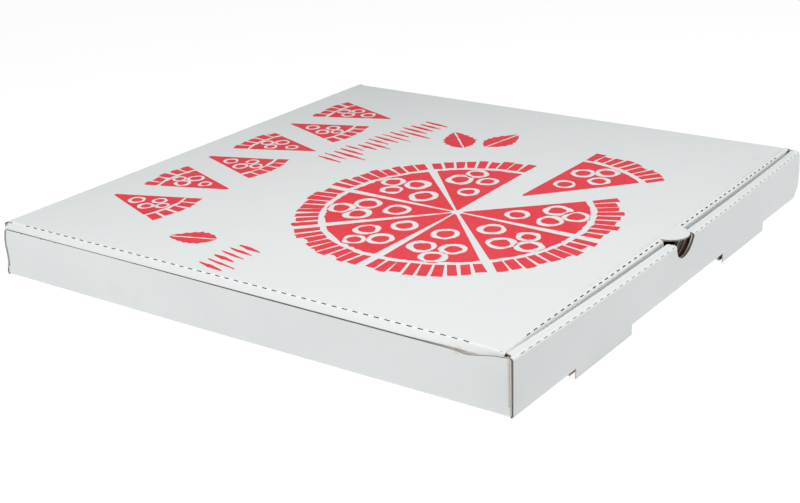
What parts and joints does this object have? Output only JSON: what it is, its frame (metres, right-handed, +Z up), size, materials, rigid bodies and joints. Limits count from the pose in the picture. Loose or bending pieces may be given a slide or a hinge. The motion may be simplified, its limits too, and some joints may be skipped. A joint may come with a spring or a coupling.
{
  "type": "pizza box",
  "caption": "Flat square pizza box folded from one sheet of thin white corrugated board, with a hinged lid, a double front wall and a thumb notch.",
  "frame": {"origin": "centre of the tray's footprint, on the surface that the box stands on, which the tips of the two slot tongues reach", "axes": "+Z up, -Y to the front wall with the thumb notch, +Y to the fold that the lid turns on, +X to the right seen from the front"},
  "size_m": [0.33, 0.334, 0.0344],
  "materials": {
    "tray_board": "matte",
    "lid_board": "matte"
  },
  "bodies": {
    "tray": {"tray": "tray_board"},
    "lid": {"lid": "lid_board"}
  },
  "joints": [
    {"name": "lid_hinge", "type": "hinge", "parent": "tray", "child": "lid", "pos_m": [0, 0.165, 0.0344], "axis": [-1, 0, 0], "range_deg": [0, 180]}
  ]
}
